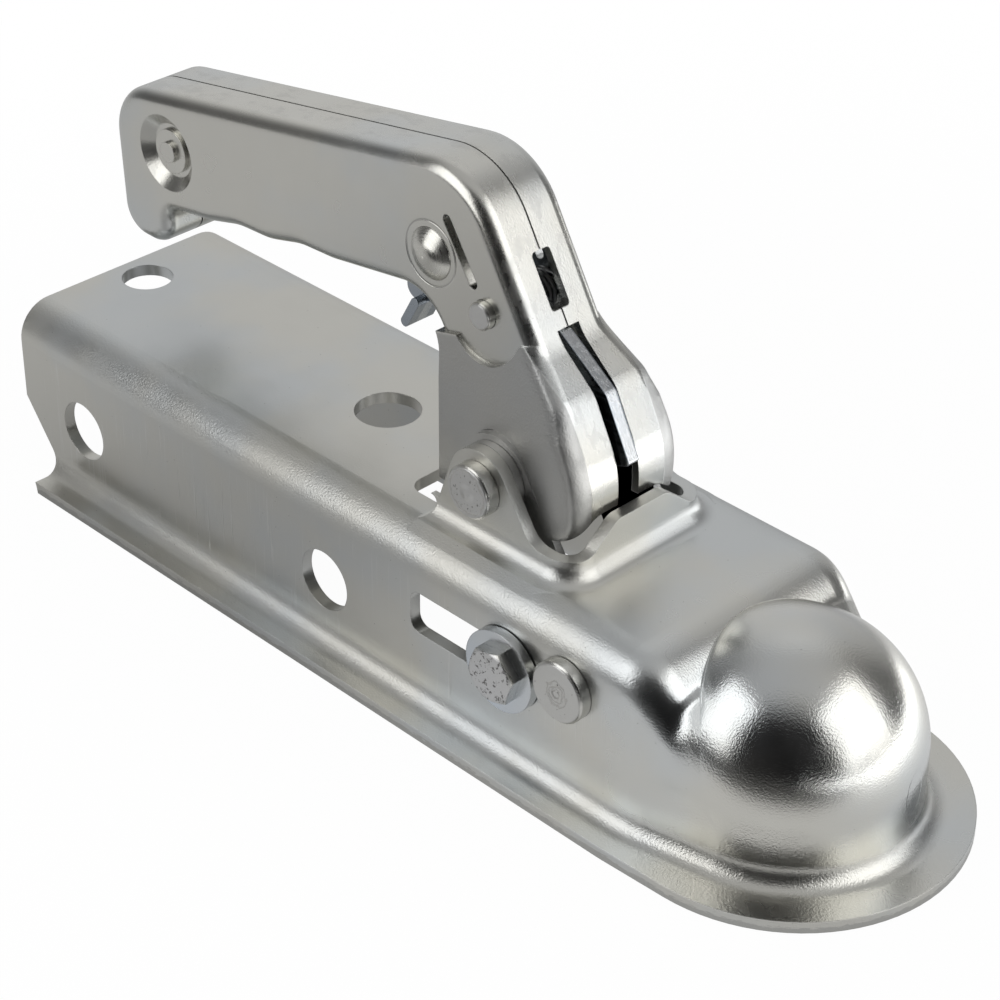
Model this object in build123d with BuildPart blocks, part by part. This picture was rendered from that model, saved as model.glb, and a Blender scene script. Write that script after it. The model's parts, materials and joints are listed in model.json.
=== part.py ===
"""Pressed-steel trailer coupling head for a 50 mm tow ball, closed and locked.

+X points forward to the ball, +Z up. The origin is on the ball's vertical axis, in the plane
of the flange's underside. Places on the handle are measured from its pivot. Places on the
jaw are measured from the jaw's own pivot.
"""
import os
from math import acos, asin, atan2, cos, degrees, hypot, radians, sin, tan

from build123d import *

# Ball that the coupling takes
ball_radius = 25.0
ball_height = 18.5
ball_clearance = 1.5

# Housing pressing
sheet = 3.0
channel_width = 60.5
housing_height = 45.0
housing_rear_x = -225.0
top_corner_radius = 9.0
taper_start_x = -16.0
taper_blend = 40.0
shoulder_foot_x = 28.456
shoulder_slope = 46.0
shoulder_radius = 14.0
flange_width = 8.3
flange_bend = 5.0
flange_setback = 13.0
rear_trim_height = 20.0
rear_trim_radius = 12.0

# Drawbar bolt holes
side_hole_radius = 7.75
side_hole_height = 19.5
side_hole_margin = 23.5
top_hole_margin = 9.5
hole_spacing = 90.0
rear_top_hole_radius = 6.5
front_top_hole_radius = 8.0

# Collar turned up round the handle
ear_inner = 19.0
ear_round = 9.0
ear_front_length = 20.5
ear_rear_length = 15.0
ear_base_radius = 2.5
collar_gap = 1.4
collar_rim = 5.0
collar_rim_blend = 6.0
collar_corner_radius = 7.0
collar_base_radius = 4.5
tab_height = 11.5
tab_top_half = 7.8
tab_base_half = 16.0
tab_radius = 4.0
opening_behind_pivot = 26.0
relief_radius = 2.2

# Handle pivot
pivot_x = -72.5
pivot_rise = 13.0
pivot_pin_radius = 5.0
pivot_head_radius = 6.4
pivot_head_height = 3.6
head_chamfer = 0.6
bush_wall = 2.0
thrust_washer_radius = 9.0
thrust_washer_height = 1.9
handle_open_angle = 30.0

# Handle shells
shell_sheet = 2.0
seam_gap = 0.4
grip_half_width = 11.0
grip_edge_radius = 3.5
grip_rear_x = -138.2
grip_rear_radius = 14.0
grip_top_z = 67.0
grip_top_slope = 9.85
bend_x = -15.3
bend_radius = 20.0
waist_x = 6.0
waist_z = 30.5
waist_radius = 14.0
shin_x = 15.9
shin_z = 22.0
shin_radius = 8.0
neck_front_radius = 23.6
front_wrap_up = 33.0
front_wrap_down = 26.0
neck_rear_x = -22.6
shell_bottom_z = -12.0
shell_foot_radius = 4.0
foot_overrun = 0.25
front_foot_z = -2.1
front_foot_half_width = 9.5
front_foot_drop = 6.4
front_foot_radius = 6.0
underside_corner_z = 33.2
underside_slope = 8.8
underside_radius = 12.0
finger_hollow_depth = 1.2
finger_pitch = 22.0
finger_first_x = -60.0
finger_count = 2
finger_round = 22.0
toe_depth = 19.2
toe_length = 10.8
toe_rise = 4.0
toe_slant = 4.5
toe_lean = 2.0
toe_corner_radius = 3.8
toe_radius = 6.0
toe_rear_radius = 8.0

# Flare of the shells, with a pad beside each ear
flare_step = 0.9
flare_rear_top_z = 24.7
flare_front_top_z = 37.2
flare_rear_step = 1.1
flare_gap = 0.6
flare_knee_z = 14.0
flare_edge_radius = 5.0
flare_inner_radius = 5.0
lobe_radius = 11.5
pad_margin = 1.0
leg_radius = 10.5
cam_eye_wall = 5.0

# Rivets and openings of the handle
rear_rivet_x = -117.5
rear_rivet_z = 34.3
rear_rivet_radius = 3.0
rear_rivet_head_radius = 5.5
rear_rivet_head = 1.0
rear_rivet_boss_radius = 2.6
dimple_radius = 9.6
dimple_depth = 2.4
dimple_draft = 50.0
middle_rivet_x = -26.2
middle_rivet_z = 42.7
middle_rivet_radius = 3.5
middle_rivet_head_radius = 6.2
middle_rivet_head = 2.6
spacer_wall = 1.5
slot_top_x = -21.1
slot_top_z = 52.6
slot_bottom_x = -13.2
slot_bottom_z = 40.4
slot_width = 2.6
window_top_z = 48.0
window_bottom_z = 36.5
window_width = 5.4
window_corner = 0.9
tongue_slot_top_z = 33.0
trigger_slot_length = 30.0

# Safety catch
catch_pin_x = -9.5
catch_pin_z = 34.5
catch_pin_radius = 3.25
catch_pin_proud = 2.0
catch_pin_chamfer = 0.5
catch_thickness = 3.2
catch_hub_radius = 6.5
catch_hub_blend = 2.0
catch_bend_radius = 3.0
catch_edge_radius = 0.8
tongue_root_x = 7.5
tongue_root_z = 29.3
tongue_bend_x = 17.6
tongue_bend_z = 22.2
tongue_depth = 8.6
tongue_tip_x = 25.1
tongue_tip_z = 7.7
tongue_heel_x = 21.5
tongue_heel_z = 6.2
tongue_side_room = 1.6
arm_root_radius = 3.6
arm_end_x = -41.0
arm_end_z = 25.0
arm_end_radius = 3.0
trigger_half_width = 4.0
trigger_root_x = -39.1
trigger_root_z = 22.6
trigger_tip_x = -42.5
trigger_tip_z = 16.5
trigger_radius = 1.2

# Clamp bolt in the side slots
clamp_ahead = 20.3
clamp_drop = 31.5
clamp_travel_per_radian = 40.0
clamp_bolt_radius = 5.0
clamp_head_flats = 12.0
clamp_head_height = 2.8
clamp_head_bevel = 60.0
hex_turn = 12.0
clamp_nut_flats = 13.0
clamp_nut_height = 4.0
clamp_thread_length = 1.5
clamp_washer_radius = 9.9
clamp_washer_height = 2.3
clamp_sleeve_wall = 2.2
side_slot_room = 0.4
side_slot_front_room = 1.5
side_slot_rear_room = 4.4
side_slot_corner = 3.0

# Ball jaw
jaw_pivot_x = -34.4
jaw_pivot_drop = 14.4
jaw_pin_radius = 6.0
jaw_head_radius = 7.3
jaw_head_height = 3.2
jaw_side_gap = 3.9
jaw_hub_radius = 9.0
jaw_open_angle = 22.5
jaw_lip_x = 6.9
jaw_lip_z = -19.1
jaw_lip_radius = 6.0
jaw_eye_wall = 2.8
jaw_neck_radius = 7.6
jaw_spacer_wall = 1.5

# Springs
spring_wire = 2.0
spring_turns = 3
spring_leg = 12.0
catch_spring_wire = 1.2
catch_spring_turns = 3
catch_spring_leg = 4.0
wires_a_turn = 1.15

# Clearances
running_fit = 0.06
slide_gap = 0.3
cam_clearance = 0.45
seat_gap = 0.1

# Reach and facing by which edges and faces are found
edge_reach = 1.0
edge_tolerance = 0.01
side_facing = -0.5

# Worked-out places
dome_radius = ball_radius + ball_clearance + sheet
housing_half_width = channel_width / 2 + sheet
flange_half_width = housing_half_width + flange_width
flange_rear_x = housing_rear_x + flange_setback
rear_side_hole_x = housing_rear_x + side_hole_margin
front_side_hole_x = rear_side_hole_x + hole_spacing
rear_top_hole_x = housing_rear_x + top_hole_margin
front_top_hole_x = rear_top_hole_x + hole_spacing
pivot_z = housing_height + pivot_rise
opening_rear_x = pivot_x - opening_behind_pivot
ear_outer = ear_inner + sheet
collar_front_x = pivot_x + neck_front_radius + collar_gap + sheet
pad_half_width = ear_inner - thrust_washer_height - 2 * seat_gap
flare_half_width = ear_inner - flare_gap
leg_inner = pad_half_width - shell_sheet
jaw_half_width = leg_inner - jaw_side_gap
jaw_pivot_z = housing_height - jaw_pivot_drop
clamp_x = pivot_x + clamp_ahead
clamp_z = pivot_z - clamp_drop
clamp_rear_x = clamp_x - clamp_travel_per_radian * radians(handle_open_angle)
cam_radius = clamp_bolt_radius + cam_clearance
side_slot_rear_x = clamp_rear_x - clamp_bolt_radius - side_slot_rear_room
side_slot_front_x = clamp_x + clamp_bolt_radius + side_slot_front_room
side_slot_height = 2 * (clamp_bolt_radius + side_slot_room)
through = 2 * flange_half_width

# Planes through the handle's pivot and the jaw's pivot
handle_side = Plane((pivot_x, 0, pivot_z), x_dir=(1, 0, 0), z_dir=(0, -1, 0))
handle_front = Plane((pivot_x, 0, pivot_z), x_dir=(0, 1, 0), z_dir=(1, 0, 0))
jaw_side = Plane((jaw_pivot_x, 0, jaw_pivot_z), x_dir=(1, 0, 0), z_dir=(0, -1, 0))


def turned_back(x, z, angle):
    """Point (x, z), seen from a piece that has turned by angle degrees about +Y at the origin."""
    return (
        x * cos(radians(angle)) - z * sin(radians(angle)),
        x * sin(radians(angle)) + z * cos(radians(angle)),
    )


def bolt_path(centre_x, centre_z, full_angle, steps=6):
    """Clamp bolt's places, measured from the centre of a piece that turns as the bolt slides."""
    places = []
    for step in range(steps + 1):
        share = step / steps
        x = clamp_x + (clamp_rear_x - clamp_x) * share
        places.append(turned_back(x - centre_x, clamp_z - centre_z, full_angle * share))
    return places


def channel_half_at(z):
    """Half the channel's clear width at height z, less where the top corner rounds in."""
    corner = top_corner_radius - sheet
    rise = max(0, z - (housing_height - sheet - corner))
    return channel_width / 2 - corner + (corner**2 - rise**2) ** 0.5


def hull_of_circles(circles):
    """Convex outline round the given (x, z, radius) circles."""
    edges = [Edge.make_circle(radius, Plane((x, z, 0))) for x, z, radius in circles]
    with BuildSketch() as outline:
        make_hull(edges)
    return outline.sketch


def swept_bolt(places, radius):
    """Slot outline that a round bolt sweeps through the given places."""
    with BuildSketch() as slot:
        for start, end in zip(places, places[1:]):
            add(hull_of_circles([(*start, radius), (*end, radius)]))
    return slot.sketch


def housing_plan(half_width, nose_radius, rear_x):
    """U-shaped plan: straight sides that taper into a round nose about the ball's axis."""
    reach = hypot(taper_start_x, half_width)
    touch = atan2(half_width, taper_start_x) - acos(nose_radius / reach)
    side_x = nose_radius * cos(touch)
    side_y = nose_radius * sin(touch)
    with BuildSketch() as plan:
        with BuildLine():
            Polyline(
                (side_x, -side_y),
                (taper_start_x, -half_width),
                (rear_x, -half_width),
                (rear_x, half_width),
                (taper_start_x, half_width),
                (side_x, side_y),
            )
            ThreePointArc((side_x, side_y), (nose_radius, 0), (side_x, -side_y))
        make_face()
        kinks = plan.vertices().filter_by_position(
            Axis.X, taper_start_x - edge_reach, taper_start_x + edge_reach
        )
        fillet(kinks, taper_blend)
    return plan.sketch


def housing_form(inset, low_z, rear_x):
    """Filled shape of the pressing above its flange, drawn in by inset on every side."""
    half_width = housing_half_width - inset
    nose_radius = dome_radius - inset
    top_z = housing_height - inset
    deep_z = low_z - nose_radius
    slope = radians(shoulder_slope)
    crest_x = shoulder_foot_x - housing_height / tan(slope) - inset * tan(slope / 2)
    with BuildPart() as form:
        with BuildSketch(Plane.XY.offset(deep_z)):
            add(housing_plan(half_width, nose_radius, rear_x))
        extrude(amount=top_z - deep_z)
        with BuildSketch(Plane.XZ) as shoulder:
            with BuildLine():
                Polyline(
                    (rear_x, deep_z),
                    (rear_x, top_z),
                    (crest_x, top_z),
                    (crest_x + (top_z - deep_z) / tan(slope), deep_z),
                    close=True,
                )
            make_face()
            fillet(
                shoulder.vertices().group_by(Axis.Y)[-1].sort_by(Axis.X)[-1], shoulder_radius - inset
            )
        extrude(amount=half_width, both=True, mode=Mode.INTERSECT)
        upper_rim = form.edges().filter_by(Axis.Y, reverse=True).filter_by(Axis.Z, reverse=True)
        upper_rim = upper_rim.filter_by(lambda edge: edge.center().Z > deep_z + edge_reach)
        fillet(upper_rim, top_corner_radius - inset)
        split(bisect_by=Plane.XY.offset(low_z), keep=Keep.TOP)
        with BuildSketch(Plane.XZ):
            with BuildLine():
                Polyline(
                    (0, ball_height + nose_radius),
                    (0, low_z),
                    (nose_radius, low_z),
                    (nose_radius, ball_height),
                )
                CenterArc((0, ball_height), nose_radius, 0, 90)
            make_face()
        revolve(axis=Axis.Z)
    return form.part


def ear_profile(grow):
    """Side outline of an ear about the pivot, larger by grow all round and wider at its base."""
    base_z = -pivot_rise - sheet
    return hull_of_circles(
        [
            (0, 0, ear_round + grow),
            (ear_base_radius - ear_rear_length, base_z, ear_base_radius + grow),
            (ear_front_length - ear_base_radius, base_z, ear_base_radius + grow),
        ]
    )


# Housing

with BuildPart() as collar_reach:
    rim_z = collar_rim - pivot_rise
    with BuildSketch(handle_side.offset(-ear_outer)) as side_view:
        add(ear_profile(0))
        with Locations((0, -pivot_rise - sheet)):
            Rectangle(collar_front_x - pivot_x, sheet + collar_rim, align=(Align.MIN, Align.MIN))
        rim_ends = side_view.vertices().filter_by_position(
            Axis.Y, rim_z - edge_tolerance, rim_z + edge_tolerance
        )
        fillet(rim_ends.sort_by(Axis.X)[-2], collar_rim_blend)
    extrude(amount=2 * ear_outer)
    with BuildSketch(Plane.YZ.offset(collar_front_x)):
        with BuildLine():
            FilletPolyline(
                (-ear_outer, housing_height),
                (-ear_outer, housing_height + collar_rim),
                (-tab_base_half, housing_height + collar_rim),
                (-tab_top_half, housing_height + tab_height),
                (tab_top_half, housing_height + tab_height),
                (tab_base_half, housing_height + collar_rim),
                (ear_outer, housing_height + collar_rim),
                (ear_outer, housing_height),
                radius=[0, 0, collar_rim_blend, tab_radius, tab_radius, collar_rim_blend, 0, 0],
                close=True,
            )
        make_face()
    extrude(amount=-2 * collar_corner_radius)

with BuildPart() as collar:
    with BuildSketch(Plane.XY.offset(housing_height - sheet)):
        with Locations(((opening_rear_x - sheet + collar_front_x) / 2, 0)):
            RectangleRounded(collar_front_x - opening_rear_x + sheet, 2 * ear_outer, collar_corner_radius)
    extrude(amount=pivot_rise + ear_round + sheet)
    add(collar_reach.part, mode=Mode.INTERSECT)

with BuildPart() as collar_foot:
    with BuildLine() as foot_run:
        FilletPolyline(
            (pivot_x - ear_rear_length, -ear_outer, housing_height),
            (collar_front_x, -ear_outer, housing_height),
            (collar_front_x, ear_outer, housing_height),
            (pivot_x - ear_rear_length, ear_outer, housing_height),
            radius=collar_corner_radius,
        )
    with BuildSketch(Plane(origin=foot_run.line @ 0, x_dir=(0, -1, 0), z_dir=(-1, 0, 0))):
        with BuildLine():
            CenterArc((collar_base_radius, collar_base_radius), collar_base_radius, 180, 90)
            Polyline(
                (collar_base_radius, 0),
                (collar_base_radius + sheet, -sheet / 2),
                (collar_base_radius + sheet, -sheet),
                (-sheet / 2, -sheet),
                (-sheet / 2, collar_base_radius),
                (0, collar_base_radius),
            )
        make_face()
    sweep(path=foot_run.wires()[0])

with BuildPart() as housing:
    add(housing_form(0, 0, housing_rear_x))
    with BuildSketch():
        add(housing_plan(flange_half_width, dome_radius + flange_width + sheet, housing_rear_x))
    extrude(amount=sheet)
    wall_foot = housing.edges().filter_by_position(
        Axis.Z, sheet - edge_tolerance, sheet + edge_tolerance
    )
    wall_foot = wall_foot.filter_by(
        lambda edge: abs(edge.center().Y) < housing_half_width + edge_reach
        and edge.bounding_box().max.X > housing_rear_x + edge_reach
        and edge.bounding_box().max.X < dome_radius + edge_reach
    )
    fillet(wall_foot, flange_bend)
    add(collar.part)
    add(collar_foot.part)
    add(housing_form(sheet, -sheet, housing_rear_x - sheet), mode=Mode.SUBTRACT)
    mouth = housing.edges().filter_by_position(Axis.Z, -edge_tolerance, edge_tolerance).filter_by(
        lambda edge: abs(edge.center().Y) < housing_half_width
        and edge.bounding_box().max.X > housing_rear_x + edge_reach
        and edge.bounding_box().max.X < dome_radius
    )
    fillet(mouth, flange_bend + sheet)
    with BuildSketch(Plane.XY.offset(housing_height - 2 * sheet)):
        with Locations(((opening_rear_x + collar_front_x - sheet) / 2, 0)):
            RectangleRounded(
                collar_front_x - sheet - opening_rear_x, 2 * ear_inner, collar_corner_radius - sheet
            )
    extrude(amount=pivot_z, mode=Mode.SUBTRACT)
    with BuildSketch(Plane.XY.offset(housing_height - 2 * sheet)):
        with Locations((rear_top_hole_x, 0)):
            Circle(rear_top_hole_radius)
        with Locations((front_top_hole_x, 0)):
            Circle(front_top_hole_radius)
    extrude(amount=3 * sheet, mode=Mode.SUBTRACT)
    with BuildSketch(Plane.XZ):
        with Locations((rear_side_hole_x, side_hole_height), (front_side_hole_x, side_hole_height)):
            Circle(side_hole_radius)
        with Locations((jaw_pivot_x, jaw_pivot_z)):
            Circle(jaw_pin_radius + seat_gap)
        with Locations(((side_slot_rear_x + side_slot_front_x) / 2, clamp_z)):
            RectangleRounded(side_slot_front_x - side_slot_rear_x, side_slot_height, side_slot_corner)
        with Locations((pivot_x, pivot_z)):
            Circle(pivot_pin_radius + seat_gap)
        with Locations((pivot_x - ear_rear_length, housing_height + relief_radius)):
            Circle(relief_radius)
        with BuildLine():
            FilletPolyline(
                (housing_rear_x - sheet, -sheet),
                (flange_rear_x, -sheet),
                (flange_rear_x, sheet),
                (housing_rear_x, rear_trim_height),
                (housing_rear_x - sheet, rear_trim_height + sheet),
                radius=[0, 0, rear_trim_radius, 0, 0],
                close=True,
            )
        make_face()
    extrude(amount=through, both=True, mode=Mode.SUBTRACT)

housing.part.label = "housing"


def grip_outline(inset):
    """Side outline of the handle about its pivot, drawn in by inset: grip, bend, neck and toe."""
    slope = tan(radians(grip_top_slope))
    under = tan(radians(underside_slope))
    top_rear_z = grip_top_z + (grip_rear_x - bend_x) * slope
    toe_front_x = grip_rear_x + toe_depth
    toe_top_z = underside_corner_z + (toe_front_x - neck_rear_x) * under
    toe_z = toe_top_z - toe_length
    front_x = neck_front_radius
    upper_touch = radians(front_wrap_up)
    lower_touch = radians(front_wrap_down)
    corners = [
        ((grip_rear_x, top_rear_z), grip_rear_radius),
        ((bend_x, grip_top_z), bend_radius),
        ((waist_x, waist_z), waist_radius),
        ((shin_x, shin_z), shin_radius),
        ((front_x, neck_front_radius * tan(upper_touch / 2)), neck_front_radius),
        ((front_x, -neck_front_radius * tan(lower_touch / 2)), neck_front_radius),
        (
            (
                front_x - neck_front_radius * tan(lower_touch / 2) * sin(lower_touch) * 2,
                -neck_front_radius * tan(lower_touch / 2) * (1 + 2 * cos(lower_touch)),
            ),
            shell_foot_radius,
        ),
        ((neck_rear_x, shell_bottom_z - 3 * shell_sheet), shell_foot_radius),
        ((neck_rear_x, underside_corner_z), underside_radius),
    ]
    for half_step in range(2 * finger_count + 1):
        x = finger_first_x - half_step * finger_pitch / 2
        line_z = underside_corner_z + (x - neck_rear_x) * under
        corners.append(((x, line_z + finger_hollow_depth * (half_step % 2)), finger_round))
    corners += [
        ((toe_front_x, toe_top_z), toe_corner_radius),
        ((toe_front_x, toe_z + toe_rise), toe_corner_radius),
        ((toe_front_x - toe_slant, toe_z), toe_radius),
        ((grip_rear_x + toe_lean, toe_z), toe_rear_radius),
    ]
    with BuildSketch() as outline:
        with BuildLine():
            FilletPolyline(
                [corner for corner, _ in corners],
                radius=[radius for _, radius in corners],
                close=True,
            )
        make_face()
        if inset:
            offset(amount=-inset)
    return outline.sketch


def shell_form(inset, flare_knees, flare_radius):
    """Filled shape of the -Y half of the handle, drawn in by inset on every side but the seam.

    The flare widens down to the first of flare_knees, or down to the foot if there are none.
    """
    foot_z = shell_bottom_z - inset * foot_overrun
    with BuildPart() as flare:
        for section_x, top_z, foot_half_width in (
            (neck_rear_x - shell_sheet, flare_rear_top_z, grip_half_width + flare_rear_step),
            (neck_front_radius + shell_sheet, flare_front_top_z, flare_half_width),
        ):
            with BuildSketch(handle_front.offset(section_x)):
                with BuildLine():
                    Polyline(
                        (0, top_z),
                        (inset - grip_half_width - flare_step, top_z),
                        *[(inset - foot_half_width, z) for z in (*flare_knees, foot_z)],
                        (0, foot_z),
                        close=True,
                    )
                make_face()
        loft(ruled=True)
        with BuildSketch(handle_side):
            add(grip_outline(inset))
        extrude(amount=through, mode=Mode.INTERSECT)
        outer_faces = flare.faces().filter_by(lambda face: face.normal_at(face.center()).Y < side_facing)
        front_rim = outer_faces.edges().filter_by(
            lambda edge: edge.center().X > pivot_x + waist_x
            and edge.center().Z > pivot_z + foot_z + seat_gap
        )
        fillet(front_rim, flare_radius)
        with BuildSketch(handle_side.offset(grip_half_width - inset)):
            with Locations((catch_pin_x, catch_pin_z)):
                Circle(lobe_radius + inset)
        extrude(amount=through, mode=Mode.SUBTRACT)
    with BuildPart() as pad:
        with BuildSketch(handle_side):
            add(grip_outline(inset))
        extrude(amount=pad_half_width - inset)
        with BuildSketch(handle_side):
            add(ear_profile(pad_margin - inset))
        extrude(amount=through, mode=Mode.INTERSECT)
    with BuildPart() as form:
        with BuildSketch(handle_side):
            add(grip_outline(inset))
        extrude(amount=grip_half_width - inset)
        fillet(form.faces().sort_by(Axis.Y)[0].edges(), grip_edge_radius - inset)
        with BuildSketch(handle_side.offset(grip_half_width - inset)):
            with Locations((rear_rivet_x, rear_rivet_z)):
                Circle(dimple_radius + inset)
        extrude(amount=-dimple_depth, taper=dimple_draft, mode=Mode.SUBTRACT)
        add(flare.part)
        add(pad.part)
    return form.part


def tube(place, bore, outer, start, end, label):
    """Round tube along Y at place (x, z), between the planes y = start and y = end."""
    with BuildPart() as piece:
        with BuildSketch(Plane.XZ.offset(-start)):
            with Locations(place):
                Circle(outer)
                Circle(bore, mode=Mode.SUBTRACT)
        extrude(amount=start - end)
    piece.part.label = label
    return piece.part


def turned_piece(place, half_outline, label):
    """Round piece along Y at place (x, z), from (y, radius) steps of its half on the +Y side."""
    x, z = place
    outline = [(-y, radius) for y, radius in reversed(half_outline)] + half_outline
    end_y = half_outline[-1][0]
    with BuildPart() as piece:
        with BuildSketch(Plane.YZ.offset(x)):
            with BuildLine():
                Polyline(
                    [(-end_y, z)] + [(y, z + radius) for y, radius in outline] + [(end_y, z)],
                    close=True,
                )
            make_face()
        revolve(axis=Axis((x, 0, z), (0, 1, 0)))
    piece.part.label = label
    return piece.part


def headed_pin(place, radius, grip, head_radius, head_height, label):
    """Riveted pin with a round head at each end, the heads outside y = -grip and y = +grip."""
    end_y = grip + head_height
    return turned_piece(
        place,
        [
            (grip + seat_gap, radius),
            (grip + seat_gap, head_radius),
            (end_y - head_chamfer, head_radius),
            (end_y, head_radius - head_chamfer),
        ],
        label,
    )


def mirrored_pair(piece, label):
    """The piece and its mirror image across the centre plane, as two solids in one node."""
    return Compound(label=label, children=[piece, mirror(piece, about=Plane.XZ)])


def coil(place, radius, wire, turns, start, leg, label):
    """Torsion spring about a Y axis at place (x, z), with a straight tangent leg at each end."""
    x, z = place
    pitch = wire * wires_a_turn
    with BuildPart() as piece:
        with BuildLine() as path:
            Helix(pitch, pitch * turns, radius, center=(x, start, z), direction=(0, 1, 0))
        with BuildSketch(Plane(origin=path.line @ 0, z_dir=path.line % 0)):
            Circle(wire / 2)
        sweep(path=path.wires()[0])
        for end, way in ((0, -1), (1, 1)):
            with BuildSketch(Plane(origin=path.line @ end, z_dir=(path.line % end) * way)):
                Circle(wire / 2)
            extrude(amount=leg)
    piece.part.label = label
    return piece.part


# Handle shells

cam_places = bolt_path(pivot_x, pivot_z, handle_open_angle)
cam_middle = cam_places[len(cam_places) // 2]

with BuildPart() as right_handle_shell:
    add(shell_form(0, [flare_knee_z], flare_edge_radius))
    add(shell_form(shell_sheet, [], flare_inner_radius), mode=Mode.SUBTRACT)
    split(bisect_by=Plane.XY.offset(pivot_z + shell_bottom_z), keep=Keep.TOP)
    with BuildSketch(handle_front.offset(waist_x)):
        with BuildLine():
            FilletPolyline(
                (0, shell_bottom_z),
                (0, front_foot_z),
                (-front_foot_half_width, front_foot_z),
                (-ear_inner, front_foot_z - front_foot_drop),
                (-ear_inner, shell_bottom_z),
                radius=[0, 0, front_foot_radius, 0, 0],
                close=True,
            )
        make_face()
    extrude(amount=through, mode=Mode.SUBTRACT)
    with BuildSketch(handle_side.offset(leg_inner)):
        add(hull_of_circles([(0, 0, leg_radius), (*cam_middle, cam_radius + cam_eye_wall)]))
    extrude(amount=shell_sheet)
    with BuildSketch(handle_side):
        Circle(pivot_pin_radius + running_fit)
        with Locations((rear_rivet_x, rear_rivet_z)):
            Circle(rear_rivet_radius + seat_gap)
        with Locations((middle_rivet_x, middle_rivet_z)):
            Circle(middle_rivet_radius + seat_gap)
        with Locations((catch_pin_x, catch_pin_z)):
            Circle(catch_pin_radius + seat_gap)
        add(swept_bolt(cam_places, cam_radius))
        add(swept_bolt([(slot_top_x, slot_top_z), (slot_bottom_x, slot_bottom_z)], slot_width / 2))
    extrude(amount=through, mode=Mode.SUBTRACT)
    with BuildSketch(handle_front.offset(bend_x)):
        with Locations((0, (window_top_z + window_bottom_z) / 2)):
            RectangleRounded(window_width, window_top_z - window_bottom_z, window_corner)
        with Locations((0, tongue_slot_top_z)):
            Rectangle(catch_thickness + 2 * tongue_side_room, through, align=(Align.CENTER, Align.MAX))
    extrude(amount=through, mode=Mode.SUBTRACT)
    with BuildSketch(handle_front.offset(neck_rear_x + 2 * shell_sheet)):
        with Locations((0, underside_corner_z + shell_sheet)):
            Rectangle(
                2 * (trigger_half_width + slide_gap), trigger_slot_length, align=(Align.CENTER, Align.MAX)
            )
    extrude(amount=-trigger_slot_length, mode=Mode.SUBTRACT)
    split(bisect_by=Plane.XZ.offset(seam_gap / 2), keep=Keep.TOP)

right_handle_shell.part.label = "right_handle_shell"
left_handle_shell = mirror(right_handle_shell.part, about=Plane.XZ)
left_handle_shell.label = "left_handle_shell"

# Grip rivets and spacers

rear_rivet_place = (pivot_x + rear_rivet_x, pivot_z + rear_rivet_z)
middle_rivet_place = (pivot_x + middle_rivet_x, pivot_z + middle_rivet_z)
dimple_floor = grip_half_width - dimple_depth
rear_grip_rivet = turned_piece(
    rear_rivet_place,
    [
        (dimple_floor, rear_rivet_radius),
        (dimple_floor, rear_rivet_head_radius),
        (dimple_floor + rear_rivet_head, rear_rivet_head_radius),
        (dimple_floor + rear_rivet_head, rear_rivet_boss_radius),
        (dimple_floor + 2 * rear_rivet_head, rear_rivet_boss_radius),
    ],
    "rear_grip_rivet",
)
rear_grip_spacer = tube(
    rear_rivet_place,
    rear_rivet_radius + seat_gap,
    rear_rivet_radius + seat_gap + spacer_wall,
    shell_sheet - dimple_floor,
    dimple_floor - shell_sheet,
    "rear_grip_spacer",
)

with BuildPart() as middle_rivet:
    with BuildSketch(handle_side.offset(-grip_half_width)):
        with Locations((middle_rivet_x, middle_rivet_z)):
            Circle(middle_rivet_radius)
    extrude(amount=2 * grip_half_width)
    cap_radius = (middle_rivet_head_radius**2 + middle_rivet_head**2) / (2 * middle_rivet_head)
    cap_centre = grip_half_width + middle_rivet_head - cap_radius
    with BuildSketch(handle_front.offset(middle_rivet_x)):
        with BuildLine():
            cap = CenterArc(
                (cap_centre, middle_rivet_z),
                cap_radius,
                0,
                degrees(asin(middle_rivet_head_radius / cap_radius)),
            )
            Polyline(cap @ 1, (grip_half_width, middle_rivet_z), cap @ 0)
        make_face()
    revolve(axis=Axis((middle_rivet_place[0], 0, middle_rivet_place[1]), (0, 1, 0)))
    mirror(about=Plane.XZ)
middle_rivet.part.label = "middle_rivet"
middle_spacer = tube(
    middle_rivet_place,
    middle_rivet_radius + seat_gap,
    middle_rivet_radius + seat_gap + spacer_wall,
    shell_sheet - grip_half_width,
    grip_half_width - shell_sheet,
    "middle_spacer",
)

# Safety catch, its pin and spring

catch_place = (pivot_x + catch_pin_x, pivot_z + catch_pin_z)
catch_pin_end = grip_half_width + catch_pin_proud
catch_pin = turned_piece(
    catch_place,
    [
        (catch_pin_end - catch_pin_chamfer, catch_pin_radius),
        (catch_pin_end, catch_pin_radius - catch_pin_chamfer),
    ],
    "catch_pin",
)

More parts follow.
